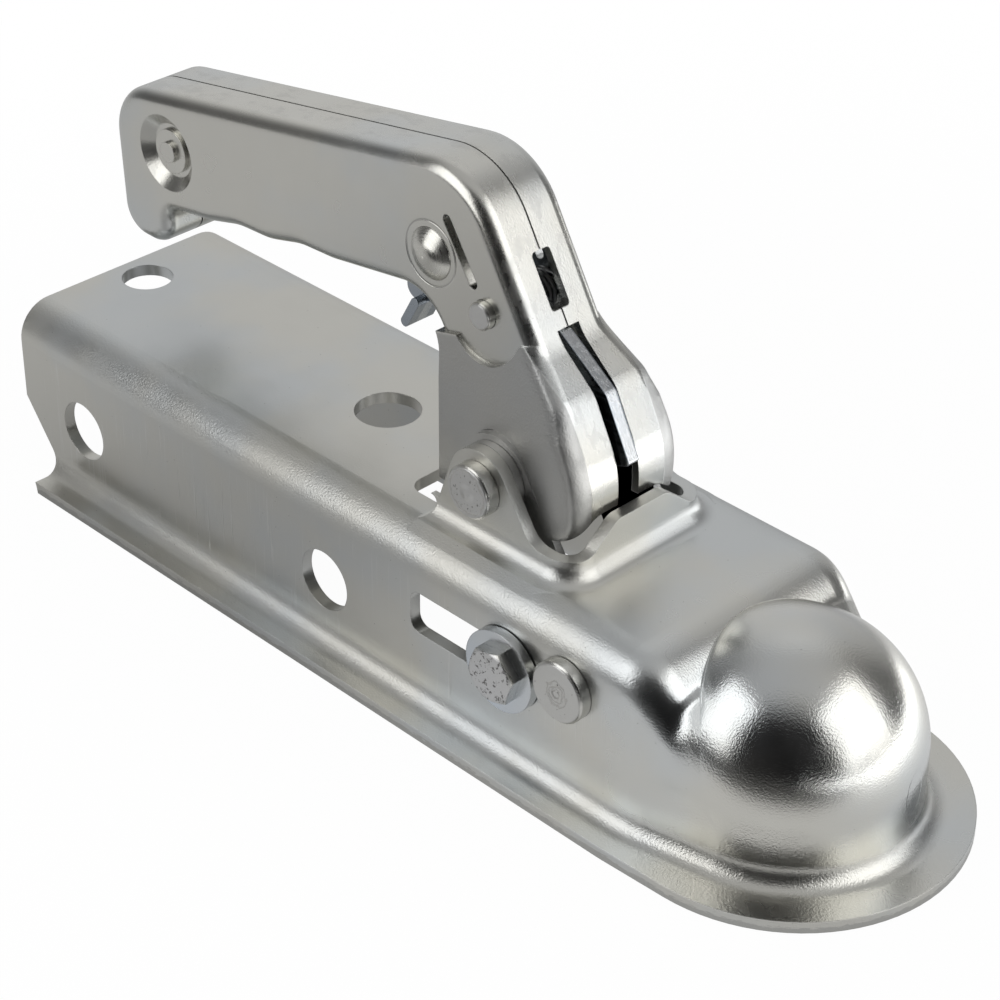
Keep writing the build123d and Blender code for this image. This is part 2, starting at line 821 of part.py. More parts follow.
with BuildPart() as safety_catch:
    with BuildSketch(handle_side.offset(-catch_thickness / 2)):
        with BuildLine():
            FilletPolyline(
                (catch_pin_x, catch_pin_z + catch_hub_radius),
                (tongue_root_x, tongue_root_z),
                (tongue_bend_x, tongue_bend_z),
                (tongue_tip_x, tongue_tip_z),
                (tongue_heel_x, tongue_heel_z),
                (tongue_bend_x - tongue_depth, tongue_bend_z - tongue_depth),
                (catch_pin_x, catch_pin_z - catch_hub_radius),
                radius=[
                    catch_hub_blend,
                    catch_bend_radius,
                    catch_bend_radius,
                    catch_edge_radius,
                    catch_edge_radius,
                    catch_bend_radius,
                    catch_hub_blend,
                ],
                close=True,
            )
        make_face()
        arm = [(catch_pin_x, catch_pin_z, arm_root_radius), (arm_end_x, arm_end_z, arm_end_radius)]
        add(hull_of_circles(arm))
        with Locations((catch_pin_x, catch_pin_z)):
            Circle(catch_hub_radius)
            Circle(catch_pin_radius + running_fit, mode=Mode.SUBTRACT)
    extrude(amount=catch_thickness)
    with BuildSketch(handle_side.offset(-trigger_half_width)):
        trigger_ends = [(trigger_root_x, trigger_root_z), (trigger_tip_x, trigger_tip_z)]
        add(swept_bolt(trigger_ends, trigger_radius))
    extrude(amount=2 * trigger_half_width)
safety_catch.part.label = "safety_catch"

catch_spring = coil(
    catch_place,
    catch_pin_radius + slide_gap + catch_spring_wire / 2,
    catch_spring_wire,
    catch_spring_turns,
    catch_thickness / 2 + catch_spring_wire,
    catch_spring_leg,
    "catch_spring",
)

# Handle pivot

pivot_place = (pivot_x, pivot_z)
bush_bore = pivot_pin_radius + running_fit
pivot_pin = headed_pin(
    pivot_place, pivot_pin_radius, ear_outer, pivot_head_radius, pivot_head_height, "pivot_pin"
)
pivot_bush = tube(
    pivot_place, bush_bore, bush_bore + bush_wall, seat_gap - leg_inner, leg_inner - seat_gap, "pivot_bush"
)
thrust_washers = mirrored_pair(
    tube(
        pivot_place,
        bush_bore,
        thrust_washer_radius,
        -pad_half_width - seat_gap - thrust_washer_height,
        -pad_half_width - seat_gap,
        "thrust_washer",
    ),
    "thrust_washers",
)
handle_spring = coil(
    pivot_place,
    bush_bore + bush_wall + slide_gap + spring_wire / 2,
    spring_wire,
    spring_turns,
    catch_thickness / 2 + spring_wire,
    spring_leg,
    "handle_spring",
)

# Ball jaw on its rivet

jaw_places = bolt_path(jaw_pivot_x, jaw_pivot_z, jaw_open_angle)
jaw_place = (jaw_pivot_x, jaw_pivot_z)

with BuildPart() as ball_jaw:
    with BuildSketch(jaw_side.offset(-jaw_half_width)):
        add(hull_of_circles([(0, 0, jaw_hub_radius), (jaw_lip_x, jaw_lip_z, jaw_lip_radius)]))
        slot_ends = [(*end, cam_radius + jaw_eye_wall) for end in (jaw_places[0], jaw_places[-1])]
        for slot_end in slot_ends:
            add(hull_of_circles([(0, 0, jaw_neck_radius), slot_end]))
        add(hull_of_circles(slot_ends))
        add(swept_bolt(jaw_places, cam_radius), mode=Mode.SUBTRACT)
        Circle(jaw_pin_radius + running_fit, mode=Mode.SUBTRACT)
    extrude(amount=2 * jaw_half_width)
    with Locations((0, 0, ball_height)):
        Sphere(ball_radius + slide_gap, mode=Mode.SUBTRACT)
ball_jaw.part.label = "ball_jaw"

jaw_rivet = headed_pin(
    jaw_place, jaw_pin_radius, housing_half_width, jaw_head_radius, jaw_head_height, "jaw_rivet"
)
spacer_bore = jaw_pin_radius + seat_gap
spacer_radius = spacer_bore + jaw_spacer_wall
jaw_spacers = mirrored_pair(
    tube(
        jaw_place,
        spacer_bore,
        spacer_radius,
        seat_gap - channel_half_at(jaw_pivot_z + spacer_radius),
        -jaw_half_width - slide_gap,
        "jaw_spacer",
    ),
    "jaw_spacers",
)

# Clamp bolt with its washers, sleeves and nut

clamp_place = (clamp_x, clamp_z)
washer_face = housing_half_width + slide_gap + clamp_washer_height
nut_face = washer_face + clamp_nut_height
clamp_bore = clamp_bolt_radius + seat_gap

with BuildPart() as clamp_bolt:
    with BuildSketch(Plane.XZ.offset(washer_face)):
        with Locations(clamp_place):
            RegularPolygon(clamp_head_flats / 2, 6, major_radius=False, rotation=hex_turn)
    extrude(amount=clamp_head_height)
    with BuildSketch(Plane.XZ.offset(washer_face + clamp_head_height)):
        with Locations(clamp_place):
            Circle(clamp_head_flats / 2)
    extrude(amount=-clamp_head_height, taper=-clamp_head_bevel, mode=Mode.INTERSECT)
    with BuildSketch(Plane.XZ.offset(washer_face)):
        with Locations(clamp_place):
            Circle(clamp_bolt_radius)
    extrude(amount=-washer_face - nut_face - clamp_thread_length)
clamp_bolt.part.label = "clamp_bolt"

with BuildPart() as clamp_nut:
    with BuildSketch(Plane.XZ.offset(-washer_face)):
        with Locations(clamp_place):
            RegularPolygon(clamp_nut_flats / 2, 6, major_radius=False, rotation=hex_turn)
            Circle(clamp_bore, mode=Mode.SUBTRACT)
    extrude(amount=-clamp_nut_height)
clamp_nut.part.label = "clamp_nut"

clamp_washers = mirrored_pair(
    tube(
        clamp_place,
        clamp_bore,
        clamp_washer_radius,
        -washer_face,
        -housing_half_width - slide_gap,
        "clamp_washer",
    ),
    "clamp_washers",
)
clamp_sleeves = mirrored_pair(
    tube(
        clamp_place,
        clamp_bore,
        clamp_bore + clamp_sleeve_wall,
        slide_gap - channel_width / 2,
        -pad_half_width - slide_gap,
        "clamp_sleeve",
    ),
    "clamp_sleeves",
)

# Written out, one file a node

nodes = [
    housing.part,
    right_handle_shell.part,
    left_handle_shell,
    rear_grip_rivet,
    rear_grip_spacer,
    middle_rivet.part,
    middle_spacer,
    catch_pin,
    safety_catch.part,
    catch_spring,
    pivot_pin,
    pivot_bush,
    thrust_washers,
    handle_spring,
    ball_jaw.part,
    jaw_rivet,
    jaw_spacers,
    clamp_bolt.part,
    clamp_washers,
    clamp_sleeves,
    clamp_nut.part,
]
os.makedirs("parts", exist_ok=True)
for node in nodes:
    export_step(node, f"parts/{node.label}.step")
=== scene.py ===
"""Looks of a bright zinc-plated trailer coupling head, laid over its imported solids.

Places and sizes are in millimetres in the part's own frame, and become metres where a mesh or the
camera is made. The lamps' sizes and the spans on the floor are in metres. A span holds the two
values between which something fades in or out.
"""
import json
import logging
import math
from abc import ABC, abstractmethod
from dataclasses import dataclass, field
from enum import Enum
from typing import Optional, Sequence, Union

import bpy
import numpy as np
from mathutils import Matrix, Vector


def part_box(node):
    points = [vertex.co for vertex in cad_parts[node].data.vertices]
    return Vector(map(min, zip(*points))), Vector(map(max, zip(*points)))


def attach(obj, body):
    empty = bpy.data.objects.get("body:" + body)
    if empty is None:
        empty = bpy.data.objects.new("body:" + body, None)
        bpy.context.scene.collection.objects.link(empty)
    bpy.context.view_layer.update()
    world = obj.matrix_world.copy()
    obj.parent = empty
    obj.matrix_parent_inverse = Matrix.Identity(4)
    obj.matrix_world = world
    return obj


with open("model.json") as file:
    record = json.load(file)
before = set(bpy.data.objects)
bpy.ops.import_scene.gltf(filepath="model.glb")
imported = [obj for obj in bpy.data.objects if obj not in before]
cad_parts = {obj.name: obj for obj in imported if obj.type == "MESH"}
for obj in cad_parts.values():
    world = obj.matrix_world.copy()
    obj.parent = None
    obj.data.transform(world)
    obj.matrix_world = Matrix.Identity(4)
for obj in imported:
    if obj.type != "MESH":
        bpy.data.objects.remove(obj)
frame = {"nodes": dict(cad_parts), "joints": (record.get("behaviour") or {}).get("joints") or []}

log = logging.getLogger("coupling_head")

MM = 0.001
SHELL_SHEET = 2.0
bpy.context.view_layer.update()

Colour = tuple[float, float, float]
Place = tuple[float, float, float]
Span = tuple[float, float]
Socket = bpy.types.NodeSocket
Value = Union[float, Sequence[float], Socket]

DOME_CENTRE: Place = (0.0, 0.0, 18.5)
DOME_RADIUS = 29.5


class Body(Enum):
    """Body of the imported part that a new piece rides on."""

    HOUSING = "housing"


class Slot(Enum):
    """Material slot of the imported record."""

    SHEET = "zinc_plated_sheet"


def joint_place(name: str) -> Place:
    """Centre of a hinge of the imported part.

    Args:
        name: The joint's name in the record.

    Returns:
        The centre in millimetres.
    """
    joint = next(item for item in frame["joints"] if item["name"] == name)
    x, y, z = joint["pos_m"]
    return x / MM, y / MM, z / MM


def node_centre(name: str) -> Place:
    """Centre of a node's box.

    Args:
        name: The node's name.

    Returns:
        The centre in millimetres.
    """
    low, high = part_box(name)
    x, y, z = (low + high) / 2 / MM
    return x, y, z


def node_top(name: str) -> Place:
    """Highest corner of a node's box.

    Args:
        name: The node's name.

    Returns:
        The corner in millimetres.
    """
    x, y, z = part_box(name)[1] / MM
    return x, y, z


class NodeGraph:
    """Node tree of one material or world, with short ways to add and join its nodes."""

    def __init__(self, owner: Union[bpy.types.Material, bpy.types.World]) -> None:
        """Starts with an empty tree.

        Args:
            owner: The material or world.
        """
        owner.use_nodes = True
        self.owner = owner
        self.tree = owner.node_tree
        self.tree.nodes.clear()

    def node(self, kind: str, **settings: object) -> bpy.types.Node:
        """Adds a node.

        Args:
            kind: The node's Blender type.
            **settings: Properties to set on it.

        Returns:
            The new node.
        """
        made = self.tree.nodes.new(kind)
        for key, value in settings.items():
            setattr(made, key, value)
        return made

    def put(self, socket: Socket, value: Value) -> None:
        """Joins a socket to another one, or sets its constant.

        Args:
            socket: The input to fill.
            value: A socket, a number, a vector or a colour.
        """
        if isinstance(value, bpy.types.NodeSocket):
            self.tree.links.new(value, socket)
        elif socket.type == "RGBA":
            socket.default_value = (*value, 1.0)
        else:
            socket.default_value = value

    def show(self, shader: bpy.types.Node) -> None:
        """Joins a shader to the output.

        Args:
            shader: The node to show.
        """
        kind = "World" if isinstance(self.owner, bpy.types.World) else "Material"
        self.put(self.node("ShaderNodeOutput" + kind).inputs["Surface"], shader.outputs[0])

    def maths(self, operation: str, *values: Value) -> Socket:
        """Adds a Math node.

        Args:
            operation: The sum to do.
            *values: Its operands.

        Returns:
            The result's socket.
        """
        made = self.node("ShaderNodeMath", operation=operation)
        for socket, value in zip(made.inputs, values):
            self.put(socket, value)
        return made.outputs[0]

    def product(self, *values: Value) -> Socket:
        """Multiplies two or more numbers.

        Args:
            *values: The numbers.

        Returns:
            The product's socket.
        """
        result = values[0]
        for value in values[1:]:
            result = self.maths("MULTIPLY", result, value)
        return result

    def total(self, *values: Value) -> Socket:
        """Adds two or more numbers.

        Args:
            *values: The numbers.

        Returns:
            The sum's socket.
        """
        result = values[0]
        for value in values[1:]:
            result = self.maths("ADD", result, value)
        return result

    def vectors(self, operation: str, *values: Value) -> Socket:
        """Adds a Vector Math node.

        Args:
            operation: The sum to do.
            *values: Its operands.

        Returns:
            The vector or number that it gives.
        """
        made = self.node("ShaderNodeVectorMath", operation=operation)
        for socket, value in zip(made.inputs, values):
            self.put(socket, value)
        return made.outputs["Value" if operation in ("LENGTH", "DOT_PRODUCT") else "Vector"]

    def parts(self, vector: Socket) -> Sequence[Socket]:
        """Splits a vector.

        Args:
            vector: The vector.

        Returns:
            The sockets of its x, y and z.
        """
        made = self.node("ShaderNodeSeparateXYZ")
        self.put(made.inputs[0], vector)
        return made.outputs

    def flat_length(self, first: Value, second: Value) -> Socket:
        """Length of a flat vector.

        Args:
            first: Its first number.
            second: Its second number.

        Returns:
            The length's socket.
        """
        squares = self.total(self.product(first, first), self.product(second, second))
        return self.maths("SQRT", squares)

    def step(
        self, value: Value, low: float, high: float, to_low: float = 0.0, to_high: float = 1.0
    ) -> Socket:
        """Smooth step of a number, from one level to another.

        Args:
            value: The number to read.
            low: Where the step begins.
            high: Where the step ends.
            to_low: Level before the step.
            to_high: Level after the step.

        Returns:
            The level's socket.
        """
        made = self.node("ShaderNodeMapRange", interpolation_type="SMOOTHSTEP")
        for socket, item in zip(made.inputs, (value, low, high, to_low, to_high)):
            self.put(socket, item)
        return made.outputs[0]

    def band(self, value: Value, middle: float, half_width: float) -> Socket:
        """Soft line at one level of a number.

        Args:
            value: The number to read.
            middle: The level of the line.
            half_width: How far from that level the line ends.

        Returns:
            1 on the level, falling to 0 at the line's ends.
        """
        away = self.maths("ABSOLUTE", self.maths("SUBTRACT", value, middle))
        return self.step(away, 0.0, half_width, 1.0, 0.0)

    def noise(
        self,
        place: Socket,
        scale: float,
        detail: float = 2.0,
        roughness: float = 0.5,
        stretch: Optional[Place] = None,
    ) -> Socket:
        """Noise about 0.5 with features of about 1 / scale millimetres.

        Args:
            place: The coordinates, in millimetres.
            scale: Features in a millimetre.
            detail: Octaves of finer noise.
            roughness: Share that each finer octave keeps.
            stretch: Factors for x, y and z; a small one draws the features out that way.

        Returns:
            The noise's socket.
        """
        if stretch is not None:
            place = self.vectors("MULTIPLY", place, stretch)
        made = self.node("ShaderNodeTexNoise")
        self.put(made.inputs["Vector"], place)
        self.put(made.inputs["Scale"], scale)
        self.put(made.inputs["Detail"], detail)
        self.put(made.inputs["Roughness"], roughness)
        return made.outputs["Fac"]

    def cells(self, place: Socket, scale: float) -> Socket:
        """Voronoi cells with about scale cells in a millimetre.

        Args:
            place: The coordinates, in millimetres.
            scale: Cells in a millimetre.

        Returns:
            The distance from the nearest cell's middle.
        """
        made = self.node("ShaderNodeTexVoronoi")
        self.put(made.inputs["Vector"], place)
        self.put(made.inputs["Scale"], scale)
        return made.outputs["Distance"]

    def blend(self, share: Value, first: Value, second: Value) -> Socket:
        """Mixes two colours.

        Args:
            share: How much of the second colour there is.
            first: The first colour.
            second: The second colour.

        Returns:
            The mixed colour's socket.
        """
        made = self.node("ShaderNodeMix", data_type="RGBA")
        colours = [socket for socket in made.inputs if socket.type == "RGBA"]
        self.put(made.inputs[0], share)
        self.put(colours[0], first)
        self.put(colours[1], second)
        return next(socket for socket in made.outputs if socket.type == "RGBA")

    def lean(self, share: Value, first: Socket, second: Socket) -> Socket:
        """Turns one normal towards another.

        Args:
            share: How far it is turned, from 0 to 1.
            first: The normal at 0.
            second: The normal at 1.

        Returns:
            The new normal's socket.
        """
        made = self.node("ShaderNodeMix", data_type="VECTOR")
        self.put(made.inputs[0], share)
        vectors = [socket for socket in made.inputs if socket.type == "VECTOR"]
        self.put(vectors[-2], first)
        self.put(vectors[-1], second)
        mixed = next(socket for socket in made.outputs if socket.type == "VECTOR")
        return self.vectors("NORMALIZE", mixed)

    def bump(self, height: Socket, depth: float, normal: Optional[Socket] = None) -> Socket:
        """Turns a height into a normal.

        Args:
            height: The height, about 0 to 1.
            depth: What a height of 1 stands for, in millimetres.
            normal: The normal that it is laid on.

        Returns:
            The new normal's socket.
        """
        made = self.node("ShaderNodeBump")
        self.put(made.inputs["Distance"], depth * MM)
        self.put(made.inputs["Height"], height)
        if normal is not None:
            self.put(made.inputs["Normal"], normal)
        return made.outputs["Normal"]


@dataclass
class Surface:
    """What a finish works out for each point: its colour, roughness and height."""

    graph: NodeGraph
    place: Socket
    normal: Socket
    x: Socket
    y: Socket
    z: Socket
    colour: Value = (0.6, 0.6, 0.6)
    roughness: Value = 0.3
    heights: list[tuple[Socket, float]] = field(default_factory=list)

    def side(self) -> Socket:
        """Distance from the centre plane."""
        return self.graph.maths("ABSOLUTE", self.y)

    def reach(self, axis: Place) -> Socket:
        """Distance from a line along Y.

        Args:
            axis: A place on the line.

        Returns:
            The distance's socket.
        """
        away_x = self.graph.maths("SUBTRACT", self.x, axis[0])
        away_z = self.graph.maths("SUBTRACT", self.z, axis[2])
        return self.graph.flat_length(away_x, away_z)

    def tint(self, share: Value, colour: Colour) -> None:
        """Mixes a colour over the surface.

        Args:
            share: How much of the colour there is.
            colour: The colour.
        """
        self.colour = self.graph.blend(share, self.colour, colour)

    def roughen(self, amount: Value) -> None:
        """Adds to the roughness.

        Args:
            amount: What is added.
        """
        self.roughness = self.graph.total(self.roughness, amount)

    def raise_by(self, height: Socket, depth: float) -> None:
        """Adds relief.

        Args:
            height: The height, about 0 to 1.
            depth: How far a height of 1 stands proud, in millimetres.
        """
        self.heights.append((height, depth))


@dataclass(frozen=True)
class Finish(ABC):
    """Zinc-plated steel: satin metal with a faint cool and warm cast, fine grain and soft edges."""

    name: str
    tone: Colour = (0.60, 0.605, 0.59)
    cool: Colour = (0.55, 0.585, 0.61)
    warm: Colour = (0.635, 0.615, 0.55)
    cast_share: float = 0.5
    cast_scale: float = 0.022
    cast_levels: Span = (0.35, 0.6)
    roughness: float = 0.27
    patch_scale: float = 0.09
    patch_share: float = 0.05
    patch_levels: Span = (0.3, 0.7)
    grain_scale: float = 2.4
    grain_depth: float = 0.016
    speck_scale: float = 0.32
    speck_size: float = 0.05
    speck_share: float = 0.7
    speck_colour: Colour = (0.20, 0.20, 0.19)
    edge_radius: float = 0.35
    edge_samples: int = 2

    def material(self) -> bpy.types.Material:
        """Builds the whole material.

        Returns:
            The new material.
        """
        graph = NodeGraph(bpy.data.materials.new(self.name))
        source = graph.node("ShaderNodeTexCoord")
        place = graph.vectors("SCALE", source.outputs["Object"])
        place.node.inputs["Scale"].default_value = 1 / MM
        surface = Surface(graph, place, source.outputs["Normal"], *graph.parts(place))
        self.plate(surface)
        self.detail(surface)
        shader = graph.node("ShaderNodeBsdfPrincipled")
        shader.inputs["Metallic"].default_value = 1.0
        graph.put(shader.inputs["Base Color"], surface.colour)
        graph.put(shader.inputs["Roughness"], surface.roughness)
        edge = graph.node("ShaderNodeBevel", samples=self.edge_samples)
        edge.inputs["Radius"].default_value = self.edge_radius * MM
        normal = self.smooth(surface, edge.outputs["Normal"])
        for height, depth in surface.heights:
            normal = graph.bump(height, depth, normal)
        graph.put(shader.inputs["Normal"], normal)
        graph.show(shader)
        return graph.owner

    def plate(self, surface: Surface) -> None:
        """Lays the plating: its cast of colour, uneven gloss, grain and scattered dark specks.

        Args:
            surface: The surface to fill in.
        """
        graph = surface.graph
        cast = graph.noise(surface.place, self.cast_scale, detail=3.0)
        surface.colour = graph.blend(graph.step(cast, *self.cast_levels), self.cool, self.warm)
        surface.colour = graph.blend(self.cast_share, self.tone, surface.colour)
        patches = graph.noise(surface.place, self.patch_scale, roughness=0.6)
        half = self.patch_share / 2
        gloss = (self.roughness - half, self.roughness + half)
        surface.roughness = graph.step(patches, *self.patch_levels, *gloss)
        grain = graph.noise(surface.place, self.grain_scale, detail=1.0, roughness=0.6)
        surface.raise_by(grain, self.grain_depth)
        specks = graph.cells(surface.place, self.speck_scale)
        dark = graph.step(specks, self.speck_size / 2, self.speck_size, self.speck_share, 0.0)
        surface.tint(dark, self.speck_colour)

    def smooth(self, surface: Surface, normal: Socket) -> Socket:
        """Smooths the shading where the pressing has softer forms than its solid.

        Args:
            surface: Not used here.
            normal: The solid's own normal.

        Returns:
            The normal to shade with.
        """
        return normal

    @abstractmethod
    def detail(self, surface: Surface) -> None:
        """Adds what only this finish has.

        Args:
            surface: The surface to add to.
        """


@dataclass(frozen=True)
class PlainFinish(Finish):
    """Turned or drawn steel with fine marks round its axis."""

    mark_scale: float = 1.2
    mark_depth: float = 0.012
    mark_stretch: Place = (0.05, 3.0, 0.05)
    mark_levels: Span = (0.4, 0.6)
    mark_gloss: Span = (-0.03, 0.05)

    def detail(self, surface: Surface) -> None:
        """Adds fine tool marks that run round a piece lying along Y."""
        graph = surface.graph
        marks = graph.noise(surface.place, self.mark_scale, stretch=self.mark_stretch)
        surface.raise_by(marks, self.mark_depth)
        surface.roughen(graph.step(marks, *self.mark_levels, *self.mark_gloss))


@dataclass(frozen=True)
class HousingFinish(Finish):
    """Pressed sheet: draw lines on the walls, coarser grain on the bends and a sheared rim."""

    wall_y: float = 33.0
    top_z: float = 45.0
    sheet: float = 3.0
    valley_reach: Span = (7.0, 0.4)
    valley_side: Span = (16.0, 22.0)
    valley_foot: Span = (14.0, 20.0)
    valley_top: Span = (40.0, 35.0)
    bend_inset: float = 5.0
    bend_half_width: float = 7.0
    bend_grain_scale: float = 2.2
    bend_grain_depth: float = 0.08
    bend_dullness: float = 0.09
    foot_rise: float = 2.0
    foot_half_height: float = 5.0
    foot_width: float = 2.0
    collar_rise: Span = (0.2, 1.2)
    collar_share: float = 0.6
    nose_rear: float = -30.0
    nose_front: float = 0.0
    nose_grain: float = 0.55
    nose_polish: float = 0.09
    line_stretch: Place = (1.0, 0.02, 0.03)
    line_scale: float = 1.1
    line_depth: float = 0.03
    line_share: float = 0.4
    line_colour: Colour = (0.76, 0.76, 0.75)
    line_levels: Span = (0.58, 0.70)
    line_inset: Span = (1.5, 0.5)
    line_foot: Span = (5.0, 9.0)
    line_top: Span = (37.0, 33.0)
    line_patch_scale: float = 0.03
    line_patches: Span = (0.35, 0.6)
    rim_colour: Colour = (0.40, 0.40, 0.385)
    rim_dullness: float = 0.15
    rim_tilt: Span = (0.35, 0.15)
    rim_drop: Span = (0.1, 0.6)
    tear_stretch: Place = (0.5, 0.5, 2.5)
    tear_scale: float = 0.8
    tear_depth: float = 0.12
    tear_reach: float = 2.4
    torn_levels: Span = (2.9, 2.3)
    torn_shares: Span = (0.25, 0.9)
    mark_place: Place = (27.6, 6.0, 17.0)
    mark_half_width: float = 3.4
    mark_half_height: float = 5.6
    mark_front: Span = (8.0, 4.0)
    mark_outline: Span = (0.9, 1.05)
    mark_inside: Span = (1.0, 0.8)
    mark_depth: float = 0.06
    mark_polish: float = 0.06

    def detail(self, surface: Surface) -> None:
        """Adds the draw lines, the grain of the bends, the rim and a faint oval die mark."""
        self.bends(surface)
        self.draw_lines(surface)
        self.rim(surface)
        self.die_mark(surface)

    def smooth(self, surface: Surface, normal: Socket) -> Socket:
        """Rounds the valley where the side wall runs into the dome, towards the dome's own form."""
        graph = surface.graph
        outward = graph.vectors("SUBTRACT", surface.place, DOME_CENTRE)
        beyond = graph.maths("SUBTRACT", graph.vectors("LENGTH", outward), DOME_RADIUS)
        share = graph.product(
            graph.step(beyond, *self.valley_reach),
            graph.step(surface.side(), *self.valley_side),
            graph.step(surface.z, *self.valley_foot),
            graph.step(surface.z, *self.valley_top),
        )
        return graph.lean(share, normal, graph.vectors("NORMALIZE", outward))

    def bends(self, surface: Surface) -> None:
        """Coarser grain where the sheet was bent: at the top corners, the wall's foot and the nose.

        Args:
            surface: The surface to add to.
        """
        graph = surface.graph
        side = surface.side()
        nose = graph.step(surface.x, self.nose_rear, self.nose_front)
        corner = graph.total(side, surface.z)
        corner_sum = self.wall_y + self.top_z
        top_bend = graph.band(corner, corner_sum - self.bend_inset, self.bend_half_width)
        foot_bend = graph.product(
            graph.band(surface.z, self.sheet + self.foot_rise, self.foot_half_height),
            graph.maths("MAXIMUM", graph.step(side, self.wall_y - self.foot_width, self.wall_y), nose),
        )
        collar = graph.step(surface.z, *(self.top_z + rise for rise in self.collar_rise))
        behind = graph.maths("SUBTRACT", 1.0, nose)
        collar = graph.product(collar, behind, self.collar_share)
        bent = graph.maths("MAXIMUM", graph.product(top_bend, behind), foot_bend)
        bent = graph.maths("MAXIMUM", bent, collar)
        grain = graph.noise(surface.place, self.bend_grain_scale, detail=1.5, roughness=0.6)
        where = graph.maths("MAXIMUM", bent, graph.product(nose, self.nose_grain))
        surface.raise_by(graph.product(grain, where), self.bend_grain_depth)
        surface.roughen(graph.product(bent, self.bend_dullness))
        surface.roughen(graph.product(nose, -self.nose_polish))

    def draw_lines(self, surface: Surface) -> None:
        """Faint upright lines that the press left on the side walls.

        Args:
            surface: The surface to add to.
        """
        graph = surface.graph
        lines = graph.noise(surface.place, self.line_scale, roughness=0.7, stretch=self.line_stretch)
        patches = graph.noise(surface.place, self.line_patch_scale, detail=1.0)
        on_wall = graph.product(
            graph.step(surface.side(), *(self.wall_y - inset for inset in self.line_inset)),
            graph.step(surface.z, *self.line_foot),
            graph.step(surface.z, *self.line_top),
            graph.step(patches, *self.line_patches),
        )
        cuts = graph.product(graph.step(lines, *self.line_levels), on_wall)
        surface.raise_by(cuts, -self.line_depth)
        surface.tint(graph.product(cuts, self.line_share), self.line_colour)

    def rim(self, surface: Surface) -> None:
        """Sheared edge of the flange: rougher and darker, torn towards the underside.

        Args:
            surface: The surface to add to.
        """
        graph = surface.graph
        up = graph.parts(surface.normal)[2]
        upright = graph.step(graph.maths("ABSOLUTE", up), *self.rim_tilt)
        low = graph.step(surface.z, *(self.sheet - drop for drop in self.rim_drop))
        where = graph.product(upright, low)
        tears = graph.noise(surface.place, self.tear_scale, roughness=0.7, stretch=self.tear_stretch)
        ragged = graph.total(surface.z, graph.product(tears, self.tear_reach))
        torn = graph.step(graph.step(ragged, *self.torn_levels), 0.0, 1.0, *self.torn_shares)
        surface.tint(graph.product(where, torn), self.rim_colour)
        surface.roughen(graph.product(where, self.rim_dullness))
        surface.raise_by(graph.product(tears, where), self.tear_depth)

    def die_mark(self, surface: Surface) -> None:
        """Faint oval low on the nose, with a fine outline.

        Args:
            surface: The surface to add to.
        """
        graph = surface.graph
        x, y, z = self.mark_place
        away_y = graph.maths("DIVIDE", graph.maths("SUBTRACT", surface.y, y), self.mark_half_width)
        away_z = graph.maths("DIVIDE", graph.maths("SUBTRACT", surface.z, z), self.mark_half_height)
        reach = graph.flat_length(away_y, away_z)
        front = graph.step(surface.x, *(x - back for back in self.mark_front))
        outside = graph.step(reach, *self.mark_outline)
        surface.raise_by(graph.product(outside, front), self.mark_depth)
        inside = graph.step(reach, *self.mark_inside)
        surface.roughen(graph.product(inside, front, -self.mark_polish))


